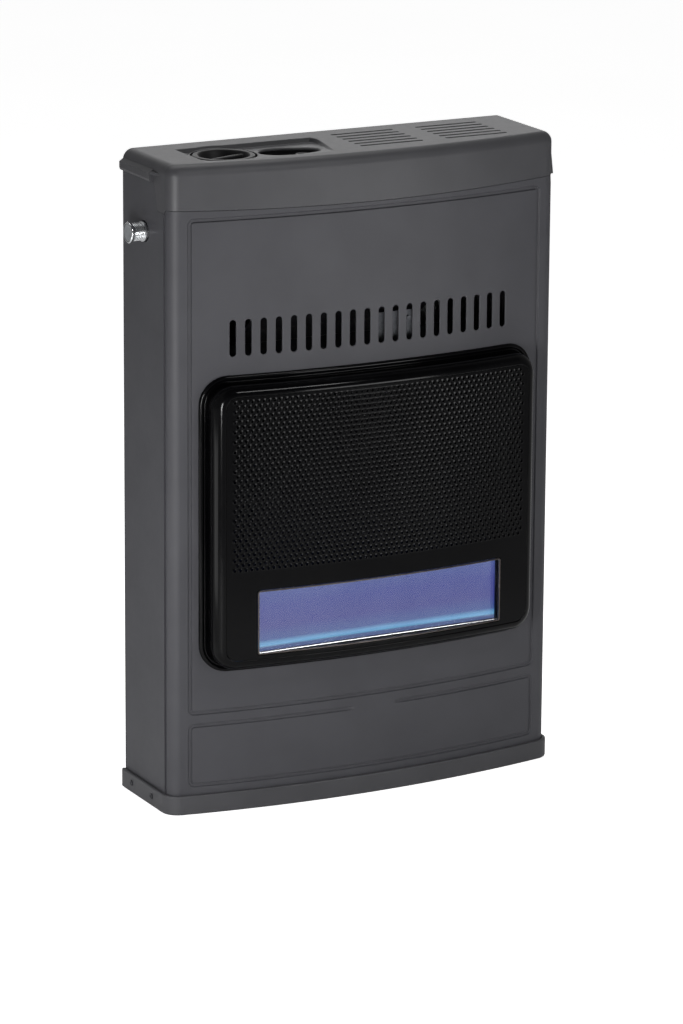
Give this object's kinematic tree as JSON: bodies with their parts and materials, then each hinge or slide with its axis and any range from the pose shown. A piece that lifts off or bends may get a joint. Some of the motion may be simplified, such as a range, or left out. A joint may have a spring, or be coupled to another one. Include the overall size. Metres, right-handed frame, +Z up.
{
  "type": "wall mounted gas heater",
  "caption": "Bowed wall mounted gas heater with a domed black firefront, flame window, air slots, and a recessed gas knob and piezo button in its top cap.",
  "frame": {"origin": "on the back of the rear panel, midway between its two hanging keyholes, at the height of their round heads", "axes": "+X along the wall to the viewer's right, +Y into the wall, +Z up"},
  "size_m": [0.4532, 0.1522, 0.657],
  "materials": {
    "casing_paint": "dark grey textured stove paint",
    "moulding": "dark grey satin moulding",
    "control": "black satin moulding",
    "firefront_enamel": "gloss black enamel",
    "zinc_steel": "zinc plated sheet and wire",
    "bright_trim": "nickel plate",
    "heatproof_black": "matt heatproof black",
    "brass": "turned brass",
    "aluminium": "die cast and drawn aluminium",
    "window_glass": "clear heat resistant glass",
    "ceramic": "glazed white ceramic",
    "plug": "pale grey transit plug"
  },
  "bodies": {
    "casing": {"base_tray": "moulding", "rear_panel": "zinc_steel", "left_side_panel": "casing_paint", "right_side_panel": "casing_paint", "front_panel": "casing_paint", "top_cap": "moulding", "bezel_frame": "firefront_enamel", "grille_panel": "firefront_enamel", "window_trim": "bright_trim", "window_frame": "heatproof_black", "window_glass": "window_glass", "window_sill": "bright_trim", "firebox": "heatproof_black", "upper_firebox_hanger": "zinc_steel", "lower_firebox_hanger": "zinc_steel", "heat_deflector": "heatproof_black", "burner_tube": "zinc_steel", "injector": "brass", "injector_plate": "zinc_steel", "pilot_bracket": "zinc_steel", "pilot_burner": "brass", "spark_electrode": "ceramic", "thermocouple": "zinc_steel", "slot_strap": "aluminium", "slot_strap_screw": "bright_trim", "gas_valve_body": "aluminium", "valve_bracket": "zinc_steel", "spindle_spring": "zinc_steel", "piezo_body": "control", "button_spring": "zinc_steel", "gas_inlet_fitting": "bright_trim", "inlet_plate": "zinc_steel", "inlet_lock_nut": "brass", "inlet_plug": "plug", "inlet_pipe": "aluminium", "feed_pipe": "aluminium", "left_tray_screw_1": "bright_trim", "left_tray_screw_2": "bright_trim", "right_tray_screw_1": "bright_trim", "right_tray_screw_2": "bright_trim"},
    "push_washer": {"spring_seat": "zinc_steel"},
    "knob": {"gas_knob": "control", "valve_spindle": "brass"},
    "button": {"piezo_button": "control"}
  },
  "joints": [
    {"name": "knob_push", "type": "slide", "parent": "casing", "child": "push_washer", "axis": [0, 0, -1], "range_m": [0, 0.004], "stiffness_N_per_m": 900, "springref_m": -0.004, "deforming": ["spindle_spring"]},
    {"name": "knob_turn", "type": "hinge", "parent": "push_washer", "child": "knob", "pos_m": [-0.134, -0.0595, 0.055], "axis": [0, 0, 1], "range_deg": [0, 180]},
    {"name": "button_push", "type": "slide", "parent": "casing", "child": "button", "axis": [0, 0, -1], "range_m": [0, 0.005], "stiffness_N_per_m": 1600, "springref_m": -0.002, "deforming": ["button_spring"]}
  ]
}
